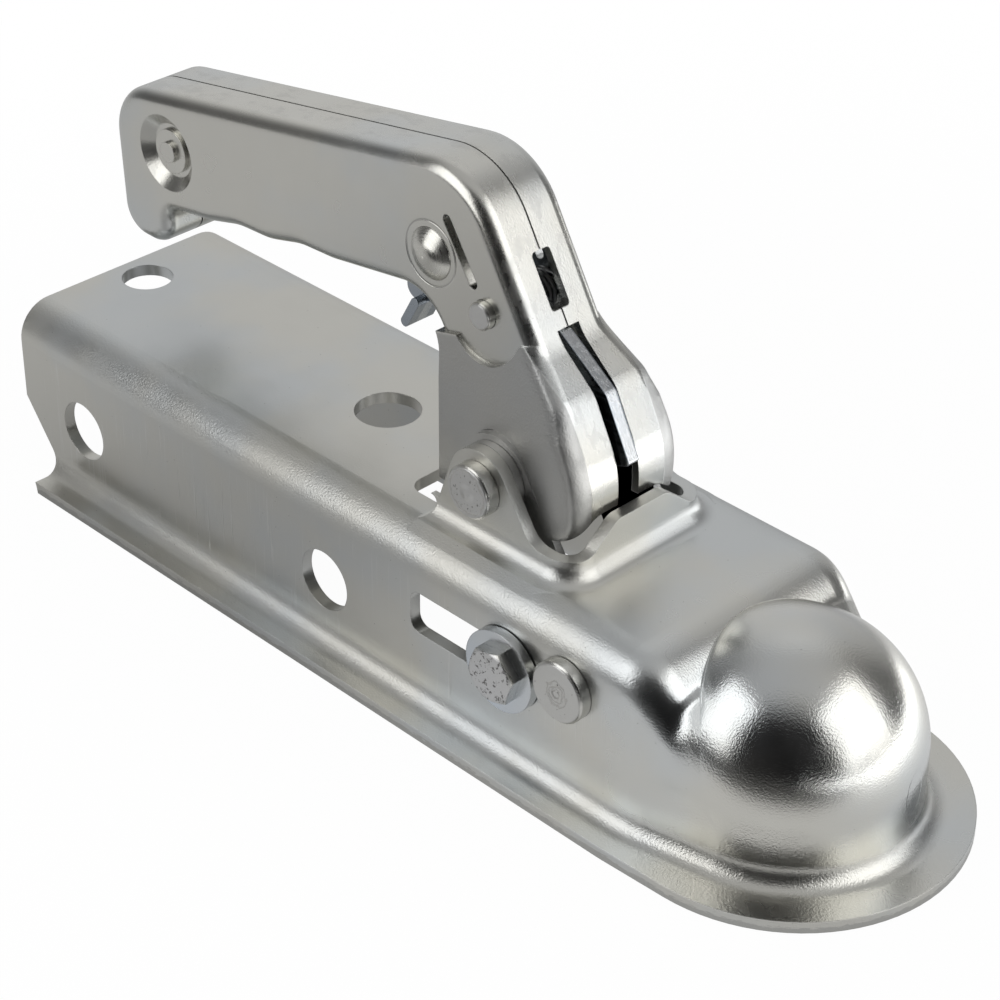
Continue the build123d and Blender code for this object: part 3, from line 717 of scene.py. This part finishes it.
@dataclass(frozen=True)
class ShellFinish(Finish):
    """Pressed handle half: blasted grey flare, smudged front and a pressed ring at the rivet, darkened
    by painted shade.
    """

    pivot: Place = (0.0, 0.0, 0.0)
    rivet: Place = (0.0, 0.0, 0.0)
    grip_y: float = 11.0
    flare_rise: float = 30.0
    flare_slope: float = 0.27
    flare_edge: Span = (1.5, 0.5)
    flare_side: Span = (0.2, 0.6)
    flare_dullness: float = 0.2
    flare_share: float = 0.7
    flare_colour: Colour = (0.42, 0.42, 0.415)
    flat_tilt: Span = (0.6, 0.85)
    flat_share: float = 0.9
    blast_grain_scale: float = 1.9
    blast_grain_depth: float = 0.07
    smudge_tilt: Span = (0.6, 0.9)
    smudge_levels: Span = (0.5, 0.66)
    smudge_stretch: Place = (1.0, 1.6, 0.7)
    smudge_scale: float = 0.18
    smudge_share: float = 0.25
    smudge_dullness: float = 0.10
    smudge_colour: Colour = (0.47, 0.47, 0.465)
    ring_radius: float = 7.7
    ring_half_width: float = 0.35
    ring_depth: float = 0.10
    ring_shade_share: float = 0.45
    ring_shade_colour: Colour = (0.33, 0.33, 0.32)

    def flare(self, surface: Surface) -> Socket:
        """Where the shell is widened and blasted, below a slanting line.

        Args:
            surface: The surface to read places from.

        Returns:
            1 on the flare and 0 off it.
        """
        graph = surface.graph
        ahead = graph.maths("SUBTRACT", surface.x, self.pivot[0])
        above = graph.maths("SUBTRACT", surface.z, self.pivot[2])
        line = graph.total(above, graph.product(ahead, -self.flare_slope))
        return graph.product(
            graph.step(line, *(self.flare_rise + edge for edge in self.flare_edge)),
            graph.step(surface.side(), *(self.grip_y + out for out in self.flare_side)),
        )

    def smooth(self, surface: Surface, normal: Socket) -> Socket:
        """Shades the blasted side as one flat face."""
        graph = surface.graph
        across = graph.maths("ABSOLUTE", graph.parts(surface.normal)[1])
        sideways = graph.step(across, *self.flat_tilt, 0.0, self.flat_share)
        outward = graph.node("ShaderNodeCombineXYZ")
        graph.put(outward.inputs[1], graph.maths("SIGN", surface.y))
        return graph.lean(graph.product(self.flare(surface), sideways), normal, outward.outputs[0])

    def detail(self, surface: Surface) -> None:
        """Adds the grain of the flare, smudges on the front and the ring round the rivet."""
        graph = surface.graph
        flare = self.flare(surface)
        grain = graph.noise(surface.place, self.blast_grain_scale, detail=1.0)
        surface.raise_by(graph.product(grain, flare), self.blast_grain_depth)
        surface.roughen(graph.product(flare, self.flare_dullness))
        surface.tint(graph.product(flare, self.flare_share), self.flare_colour)
        self.smudges(surface)
        self.rivet_ring(surface)

    def smudges(self, surface: Surface) -> None:
        """Cloudy handling marks on the faces that look forward and up.

        Args:
            surface: The surface to add to.
        """
        graph = surface.graph
        ahead, _, up = graph.parts(surface.normal)
        facing = graph.step(graph.total(ahead, up), *self.smudge_tilt)
        clouds = graph.noise(
            surface.place, self.smudge_scale, detail=4.0, roughness=0.65, stretch=self.smudge_stretch
        )
        dull = graph.product(graph.step(clouds, *self.smudge_levels), facing)
        surface.tint(graph.product(dull, self.smudge_share), self.smudge_colour)
        surface.roughen(graph.product(dull, self.smudge_dullness))

    def rivet_ring(self, surface: Surface) -> None:
        """Fine ring that the riveting tool pressed round the middle rivet, its groove darkened by
        painted shade.

        Args:
            surface: The surface to add to.
        """
        graph = surface.graph
        ring = graph.band(surface.reach(self.rivet), self.ring_radius, self.ring_half_width)
        surface.raise_by(ring, -self.ring_depth)
        # Painted shade: the ring's groove is darkened in its colour.
        surface.tint(graph.product(ring, self.ring_shade_share), self.ring_shade_colour)


@dataclass(frozen=True)
class HeadFinish(Finish):
    """Head of a pin, rivet or bolt, with pits in its face and rings left by the tool, the rings darkened
    by painted shade.
    """

    axis: Place = (0.0, 0.0, 0.0)
    face_y: float = 30.0
    face_edge: Span = (0.35, 0.1)
    pit_scale: float = 0.9
    pit_size: float = 0.2
    pit_share: float = 0.5
    pit_depth: float = 0.12
    pit_colour: Colour = (0.13, 0.125, 0.12)
    pit_darkness: float = 0.85
    pit_level: float = 0.28
    pit_gain: float = 0.55
    pit_edge: float = 0.06
    choice_scale: float = 0.7
    choice_edge: float = 0.1
    dent_scale: float = 0.5
    dent_depth: float = 0.10
    dent_levels: Span = (0.3, 0.7)
    face_share: float = 0.8
    face_tone: Colour = (0.62, 0.62, 0.615)
    face_roughness: float = 0.1
    pit_ring: float = 0.0
    pit_ring_width: float = 1.4
    boss_radius: float = 0.0
    boss_flat: float = 0.3
    boss_height: float = 0.25
    rings: tuple[float, ...] = ()
    ring_half_width: float = 0.4
    ring_wander: Span = (-0.5, 0.5)
    ring_depth: float = 0.06
    ring_shade_share: float = 0.4
    ring_shade_colour: Colour = (0.42, 0.40, 0.37)

    def detail(self, surface: Surface) -> None:
        """Adds pits, rings and a raised middle to both end faces."""
        graph = surface.graph
        reach = surface.reach(self.axis)
        on_face = graph.step(surface.side(), *(self.face_y - edge for edge in self.face_edge))
        surface.tint(graph.product(on_face, self.face_share), self.face_tone)
        surface.roughen(graph.product(on_face, self.face_roughness))
        pits = graph.noise(surface.place, self.pit_scale, roughness=0.7)
        level = self.pit_level + self.pit_gain * self.pit_size
        chosen = graph.noise(surface.place, self.pit_scale * self.choice_scale, detail=1.0)
        deep = graph.product(
            graph.step(pits, level, level - self.pit_edge),
            graph.step(chosen, 1 - self.pit_share - self.choice_edge, 1 - self.pit_share),
            on_face,
        )
        if self.pit_ring:
            deep = graph.product(deep, graph.band(reach, self.pit_ring, self.pit_ring_width))
        surface.raise_by(deep, -self.pit_depth)
        surface.tint(graph.product(deep, self.pit_darkness), self.pit_colour)
        dents = graph.noise(surface.place, self.dent_scale, detail=3.0, roughness=0.6)
        surface.raise_by(graph.product(dents, on_face), self.dent_depth)
        if self.boss_radius:
            boss = graph.step(reach, self.boss_radius, self.boss_radius * self.boss_flat)
            surface.raise_by(graph.product(boss, on_face), self.boss_height)
        uneven = graph.total(reach, graph.step(dents, *self.dent_levels, *self.ring_wander))
        for radius in self.rings:
            ring = graph.product(graph.band(uneven, radius, self.ring_half_width), on_face)
            surface.raise_by(ring, -self.ring_depth)
            # Painted shade: each ring's groove is darkened in its colour.
            surface.tint(graph.product(ring, self.ring_shade_share), self.ring_shade_colour)


@dataclass(frozen=True)
class CatchFinish(Finish):
    """Stamped plate of the safety catch: bluish faces with long polish marks and rough edges."""

    half_thickness: float = 1.6
    edge_inset: Span = (0.1, 0.3)
    edge_share: float = 0.7
    edge_colour: Colour = (0.66, 0.67, 0.68)
    side_share: float = 0.7
    side_colour: Colour = (0.30, 0.335, 0.38)
    tear_stretch: Place = (0.6, 2.5, 0.6)
    tear_scale: float = 1.3
    tear_levels: Span = (0.4, 0.65)
    tear_depth: float = 0.03
    mark_stretch: Place = (0.2, 1.0, 1.4)
    mark_scale: float = 0.8
    mark_levels: Span = (0.4, 0.65)
    mark_gloss: Span = (-0.04, 0.08)

    def detail(self, surface: Surface) -> None:
        """Adds polish marks along the tongue and a torn texture on the sheared edges."""
        graph = surface.graph
        insets = (self.half_thickness - inset for inset in self.edge_inset)
        on_edge = graph.step(surface.side(), *insets)
        on_side = graph.maths("SUBTRACT", 1.0, on_edge)
        surface.tint(graph.product(on_side, self.side_share), self.side_colour)
        tears = graph.noise(surface.place, self.tear_scale, roughness=0.6, stretch=self.tear_stretch)
        surface.raise_by(graph.product(tears, on_edge), self.tear_depth)
        torn = graph.step(tears, *self.tear_levels)
        surface.tint(graph.product(on_edge, torn, self.edge_share), self.edge_colour)
        marks = graph.noise(surface.place, self.mark_scale, detail=3.0, stretch=self.mark_stretch)
        surface.roughen(graph.step(marks, *self.mark_levels, *self.mark_gloss))


class Dressing:
    """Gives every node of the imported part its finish."""

    def __init__(self) -> None:
        """Works out the finishes from the places of the pieces."""
        pivot = joint_place("handle_pivot")
        shell = ShellFinish(
            "handle_shell_zinc",
            pivot=pivot,
            rivet=node_centre("middle_rivet"),
            grip_y=-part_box("middle_spacer")[0].y / MM + SHELL_SHEET,
            roughness=0.25,
        )
        washer = PlainFinish(
            "washer_zinc",
            tone=(0.60, 0.62, 0.64),
            cool=(0.50, 0.58, 0.68),
            warm=(0.62, 0.62, 0.60),
            roughness=0.2,
        )
        turned = PlainFinish("turned_steel", tone=(0.52, 0.52, 0.515), cast_share=0.2, roughness=0.32)
        wire = PlainFinish("spring_wire", tone=(0.40, 0.40, 0.405), cast_share=0.2, roughness=0.34)
        self.finishes: dict[str, Finish] = {
            "housing": HousingFinish("housing_zinc", roughness=0.30),
            "right_handle_shell": shell,
            "left_handle_shell": shell,
            "rear_grip_rivet": PlainFinish("rear_rivet_zinc", roughness=0.25),
            "rear_grip_spacer": turned,
            "middle_rivet": PlainFinish("middle_rivet_zinc", roughness=0.24, mark_depth=0.004),
            "middle_spacer": turned,
            "catch_pin": HeadFinish(
                "catch_pin_zinc",
                axis=joint_place("catch_pivot"),
                face_y=node_top("catch_pin")[1],
                pit_share=0.3,
                pit_size=0.12,
            ),
            "safety_catch": CatchFinish(
                "catch_zinc",
                tone=(0.55, 0.57, 0.59),
                cool=(0.47, 0.53, 0.60),
                warm=(0.60, 0.60, 0.59),
                roughness=0.2,
            ),
            "catch_spring": wire,
            "pivot_pin": HeadFinish(
                "pivot_pin_zinc",
                axis=pivot,
                face_y=node_top("pivot_pin")[1],
                pit_share=0.62,
                pit_size=0.22,
                pit_scale=1.5,
                pit_ring=3.6,
                boss_radius=2.4,
                rings=(5.1,),
            ),
            "pivot_bush": turned,
            "thrust_washers": turned,
            "handle_spring": wire,
            "ball_jaw": PlainFinish(
                "jaw_forging",
                tone=(0.48, 0.48, 0.47),
                roughness=0.38,
                grain_scale=1.0,
                grain_depth=0.08,
                mark_depth=0.03,
                mark_stretch=(1.0, 1.0, 1.0),
            ),
            "jaw_rivet": HeadFinish(
                "jaw_rivet_zinc",
                axis=joint_place("jaw_pivot"),
                face_y=node_top("jaw_rivet")[1],
                pit_share=0.35,
                pit_size=0.14,
                pit_scale=1.1,
                face_tone=(0.55, 0.55, 0.54),
                face_roughness=0.14,
                rings=(0.8, 1.8, 2.9),
                boss_radius=1.6,
            ),
            "jaw_spacers": turned,
            "clamp_bolt": HeadFinish(
                "clamp_bolt_zinc",
                axis=node_centre("clamp_bolt"),
                face_y=-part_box("clamp_bolt")[0].y / MM,
                pit_share=0.62,
                pit_size=0.26,
                pit_scale=1.15,
                pit_depth=0.16,
                face_tone=(0.58, 0.58, 0.585),
            ),
            "clamp_washers": washer,
            "clamp_sleeves": turned,
            "clamp_nut": PlainFinish("nut_zinc", roughness=0.24),
        }

    def dress(self) -> None:
        """Puts each finish on its node, making each material once."""
        made: dict[str, bpy.types.Material] = {}
        for node, finish in self.finishes.items():
            if finish.name not in made:
                made[finish.name] = finish.material()
            mesh = frame["nodes"][node].data
            mesh.materials.clear()
            mesh.materials.append(made[finish.name])
            log.info("dressed %s in %s", node, finish.name)


def grid_object(name: str, points: np.ndarray, wrap: bool = False) -> bpy.types.Object:
    """Makes a mesh object of quads from a grid of points.

    Args:
        name: The object's name.
        points: Places in millimetres, rows by columns by 3.
        wrap: Whether the last column joins the first.

    Returns:
        The object, at the origin.
    """
    rows, columns = points.shape[:2]
    index = np.arange(rows * columns).reshape(rows, columns)
    after = np.roll(index, -1, axis=1)
    if not wrap:
        index = index[:, :-1]
        after = after[:, :-1]
    quads = np.stack([index[:-1], after[:-1], after[1:], index[1:]], axis=-1).reshape(-1, 4)
    faces = quads.tolist()
    if wrap:
        faces.append(list(range(columns))[::-1])
        faces.append(list(range((rows - 1) * columns, rows * columns)))
    mesh = bpy.data.meshes.new(name)
    mesh.from_pydata((points.reshape(-1, 3) * MM).tolist(), [], faces)
    mesh.shade_smooth()
    made = bpy.data.objects.new(name, mesh)
    bpy.context.scene.collection.objects.link(made)
    return made


@dataclass
class DomeCrease:
    """Pinched fold where the ball dome rises out of the rounded shoulder.

    The fold lies on the dome's sphere. Its height above the sphere's middle is an angle that
    falls away from the rear by the square and the fourth power of the bearing.
    """

    rear_rise: float = 59.0
    square_fall: float = 2.268e-3
    fourth_fall: float = 3.086e-7
    end_bearing: float = 77.0
    half_width: float = 0.6
    height: float = 0.24
    middle_size: float = 0.25
    swell_power: float = 1.5
    end_power: int = 10
    least_size: float = 0.02
    rings: int = 200
    ring_points: int = 16

    def points(self) -> np.ndarray:
        """Bead along the fold: an ellipse across it that swells towards both ends, then closes.

        Returns:
            Places in millimetres, rings by ring points by 3.
        """
        share = np.linspace(-1.0, 1.0, self.rings)
        bearing = self.end_bearing * share
        rise = np.radians(self.rear_rise - self.square_fall * bearing**2 - self.fourth_fall * bearing**4)
        turn = np.radians(bearing)
        outward = np.stack(
            [-np.cos(rise) * np.cos(turn), np.cos(rise) * np.sin(turn), np.sin(rise)], axis=-1
        )
        spine = np.array(DOME_CENTRE) + DOME_RADIUS * outward
        along = np.gradient(spine, axis=0)
        along /= np.linalg.norm(along, axis=1, keepdims=True)
        across = np.cross(along, outward)
        swell = self.middle_size + (1.0 - self.middle_size) * np.abs(share) ** self.swell_power
        closing = np.sqrt(np.clip(1.0 - share**self.end_power, 0.0, 1.0))
        size = closing * swell + self.least_size
        ring = np.linspace(0.0, 2 * np.pi, self.ring_points, endpoint=False)
        wide = np.cos(ring)[None, :, None] * across[:, None, :] * self.half_width
        high = np.sin(ring)[None, :, None] * outward[:, None, :] * self.height
        return spine[:, None, :] + size[:, None, None] * (wide + high)

    def build(self, material: bpy.types.Material) -> None:
        """Adds the fold to the housing.

        Args:
            material: The housing's own finish.
        """
        piece = grid_object("dome_crease", self.points(), wrap=True)
        piece.data.materials.append(material)
        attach(piece, Body.HOUSING.value)
        log.info("added %s", piece.name)


def direction(azimuth: float, elevation: float) -> Vector:
    """Unit vector towards a point round the object.

    Args:
        azimuth: Angle round Z in degrees, 0 on -Y and 90 on +X.
        elevation: Angle above the floor in degrees.

    Returns:
        The vector.
    """
    a = math.radians(azimuth)
    e = math.radians(elevation)
    return Vector((math.sin(a) * math.cos(e), -math.cos(a) * math.cos(e), math.sin(e)))


@dataclass
class Softbox:
    """Oblong studio lamp that faces the middle of the part."""

    name: str
    azimuth: float
    elevation: float
    distance: float
    width: float
    height: float
    radiance: float
    aim: Place = (-60.0, 0.0, 40.0)

    def build(self) -> None:
        """Adds the lamp, with a power that gives its face the wanted radiance."""
        data = bpy.data.lights.new(self.name, "AREA")
        data.shape = "RECTANGLE"
        data.size = self.width
        data.size_y = self.height
        data.energy = self.radiance * math.pi * self.width * self.height
        lamp = bpy.data.objects.new(self.name, data)
        bpy.context.scene.collection.objects.link(lamp)
        away = direction(self.azimuth, self.elevation)
        lamp.location = Vector(self.aim) * MM + away * self.distance
        lamp.rotation_mode = "QUATERNION"
        lamp.rotation_quaternion = (-away).to_track_quat("-Z", "Y")
        lamp.visible_camera = False


@dataclass(frozen=True)
class Lobe:
    """Round area of the tent that is lighter or darker, with a soft edge; all angles in degrees."""

    azimuth: float
    elevation: float
    inner: float
    outer: float
    change: float


@dataclass
class Studio:
    """Pale floor, white surroundings, a grey light tent and two softboxes."""

    floor_half: float = 4000.0
    floor_drop: float = 0.2
    floor_colour: Colour = (0.86, 0.86, 0.86)
    floor_white: float = 0.97
    floor_glow: float = 0.75
    floor_rear: float = 0.60
    floor_left: float = 0.42
    floor_middle: float = 0.74
    floor_right_rise: float = 2.6
    floor_front_fall: float = 0.66
    floor_least: float = 0.03
    rear_reach: Span = (-0.3, -0.17)
    left_reach: Span = (-0.15, -0.04)
    right_reach: Span = (0.02, 0.3)
    right_start: Span = (-0.08, 0.04)
    front_reach: Span = (0.06, 0.14)
    right_azimuth: float = 135.0
    front_azimuth: float = 40.0
    floor_near: float = 200.0
    floor_far: float = 480.0
    tent_radius: float = 3000.0
    tent_rows: int = 33
    tent_columns: int = 64
    tent_level: float = 0.30
    tent_least: float = 0.012
    tent_lobes: tuple[Lobe, ...] = (
        Lobe(azimuth=0.0, elevation=90.0, inner=12.0, outer=50.0, change=0.24),
        Lobe(azimuth=-140.0, elevation=22.0, inner=18.0, outer=55.0, change=0.38),
        Lobe(azimuth=175.0, elevation=10.0, inner=15.0, outer=45.0, change=-0.14),
        Lobe(azimuth=35.0, elevation=18.0, inner=30.0, outer=56.0, change=-0.34),
        Lobe(azimuth=-45.0, elevation=14.0, inner=14.0, outer=42.0, change=-0.2),
    )
    ambient: float = 0.55

    def build(self) -> None:
        """Adds the whole studio."""
        self.floor()
        self.tent()
        self.world()
        for lamp in (
            Softbox(
                "left_softbox", azimuth=-25.0, elevation=28.6,
                distance=0.42, width=0.30, height=0.36, radiance=1.75,
            ),
            Softbox(
                "right_softbox", azimuth=108.0, elevation=30.0,
                distance=1.3, width=1.25, height=1.25, radiance=1.6,
            ),
        ):
            lamp.build()

    def floor(self) -> None:
        """Pale floor that fades to white away from the part and keeps its shadow beside it."""
        edge = np.linspace(-self.floor_half, self.floor_half, 2)
        x, y = np.meshgrid(edge, edge)
        points = np.stack([x, y, np.full_like(x, -self.floor_drop)], axis=-1)
        piece = grid_object("floor", points)
        graph = NodeGraph(bpy.data.materials.new("floor_paper"))
        place = graph.node("ShaderNodeTexCoord").outputs["Object"]
        reach = graph.vectors("LENGTH", place)
        share = graph.step(reach, self.floor_near * MM, self.floor_far * MM, self.floor_white, 1.0)
        paths = graph.node("ShaderNodeLightPath")
        mirrored = self.mirrored(graph, place)
        to_camera = paths.outputs["Is Camera Ray"]
        to_metal = paths.outputs["Is Glossy Ray"]
        diffuse = graph.node("ShaderNodeBsdfDiffuse")
        graph.put(diffuse.inputs["Color"], graph.blend(to_metal, self.floor_colour, mirrored))
        white = graph.node("ShaderNodeEmission")
        graph.put(white.inputs["Strength"], graph.blend(to_metal, (1.0, 1.0, 1.0), mirrored))
        mixed = graph.node("ShaderNodeMixShader")
        glow = graph.total(graph.product(share, to_camera), graph.product(to_metal, self.floor_glow))
        graph.put(mixed.inputs[0], glow)
        graph.put(mixed.inputs[1], diffuse.outputs[0])
        graph.put(mixed.inputs[2], white.outputs[0])
        graph.show(mixed)
        piece.data.materials.append(graph.owner)

    def mirrored(self, graph: NodeGraph, place: Socket) -> Socket:
        """Level of the floor as the metal mirrors it: dim at the left and in front, bright at the right.

        Args:
            graph: The floor's node tree.
            place: The floor's own coordinates, in metres.

        Returns:
            The level's socket.
        """
        to_right = graph.vectors("DOT_PRODUCT", place, tuple(direction(self.right_azimuth, 0.0)))
        to_front = graph.vectors("DOT_PRODUCT", place, tuple(direction(self.front_azimuth, 0.0)))
        ahead = graph.parts(place)[0]
        level = graph.total(
            graph.step(ahead, *self.rear_reach, self.floor_rear, self.floor_left),
            graph.step(ahead, *self.left_reach, 0.0, self.floor_middle - self.floor_left),
            graph.product(
                graph.step(to_right, *self.right_reach, 0.0, self.floor_right_rise),
                graph.step(ahead, *self.right_start),
            ),
            graph.step(to_front, *self.front_reach, 0.0, -self.floor_front_fall),
        )
        return graph.maths("MAXIMUM", level, self.floor_least)

    def tent(self) -> None:
        """Grey tent overhead, seen only in the metal, with a dark gap between the softboxes."""
        row = np.linspace(0.0, np.pi / 2, self.tent_rows)[:, None]
        turn = np.linspace(0.0, 2 * np.pi, self.tent_columns)[None, :]
        x = np.sin(row) * np.cos(turn)
        y = np.sin(row) * np.sin(turn)
        z = np.cos(row) * np.ones_like(turn)
        points = self.tent_radius * np.stack([x, y, z], axis=-1)
        piece = grid_object("light_tent", points)
        graph = NodeGraph(bpy.data.materials.new("tent_cloth"))
        place = graph.node("ShaderNodeTexCoord").outputs["Object"]
        way = graph.vectors("NORMALIZE", place)
        level = self.tent_level
        for lobe in self.tent_lobes:
            near = graph.vectors("DOT_PRODUCT", way, tuple(direction(lobe.azimuth, lobe.elevation)))
            outer = math.cos(math.radians(lobe.outer))
            inner = math.cos(math.radians(lobe.inner))
            level = graph.total(level, graph.step(near, outer, inner, 0.0, lobe.change))
        glow = graph.node("ShaderNodeEmission")
        graph.put(glow.inputs["Strength"], graph.maths("MAXIMUM", level, self.tent_least))
        graph.show(glow)
        piece.data.materials.append(graph.owner)
        piece.visible_camera = False
        piece.visible_diffuse = False
        piece.visible_shadow = False

    def world(self) -> None:
        """White world for what is seen past the floor, and a softer one for the light it gives."""
        world = bpy.data.worlds.new("studio_world")
        bpy.context.scene.world = world
        graph = NodeGraph(world)
        paths = graph.node("ShaderNodeLightPath")
        seen = paths.outputs["Is Camera Ray"]
        for ray in ("Is Glossy Ray", "Is Transmission Ray"):
            seen = graph.maths("MAXIMUM", seen, paths.outputs[ray])
        background = graph.node("ShaderNodeBackground")
        graph.put(background.inputs["Color"], (1.0, 1.0, 1.0))
        graph.put(background.inputs["Strength"], graph.step(seen, 0.0, 1.0, self.ambient, 1.0))
        graph.show(background)


@dataclass
class PhotoCamera:
    """Camera that stands where the photograph was taken from."""

    place: Place = (283.66, -369.46, 379.83)
    yaw: float = 135.175
    pitch: float = -33.161
    roll: float = 0.466
    lens: float = 99.02
    sensor: float = 36.0
    nearest: float = 10.0

    def build(self) -> None:
        """Adds the camera and makes it the scene's own."""
        yaw = math.radians(self.yaw)
        pitch = math.radians(self.pitch)
        level = math.cos(pitch)
        forward = Vector((level * math.cos(yaw), level * math.sin(yaw), math.sin(pitch)))
        right = forward.cross(Vector((0.0, 0.0, 1.0))).normalized()
        up = right.cross(forward)
        turn = Matrix.Rotation(math.radians(-self.roll), 3, forward)
        right = turn @ right
        up = turn @ up
        data = bpy.data.cameras.new("photo_camera")
        data.lens = self.lens
        data.sensor_width = self.sensor
        data.clip_start = self.nearest * MM
        camera = bpy.data.objects.new("photo_camera", data)
        bpy.context.scene.collection.objects.link(camera)
        axes = Matrix((right, up, -forward)).transposed()
        camera.matrix_world = Matrix.Translation(Vector(self.place) * MM) @ axes.to_4x4()
        bpy.context.scene.camera = camera


def main() -> None:
    """Dresses the part, adds its new pieces and sets up the studio."""
    logging.basicConfig(level=logging.INFO)
    Dressing().dress()
    DomeCrease().build(bpy.data.materials["housing_zinc"])
    Studio().build()
    PhotoCamera().build()
    bpy.context.scene.view_settings.view_transform = "Standard"


if __name__ == "__main__":
    main()
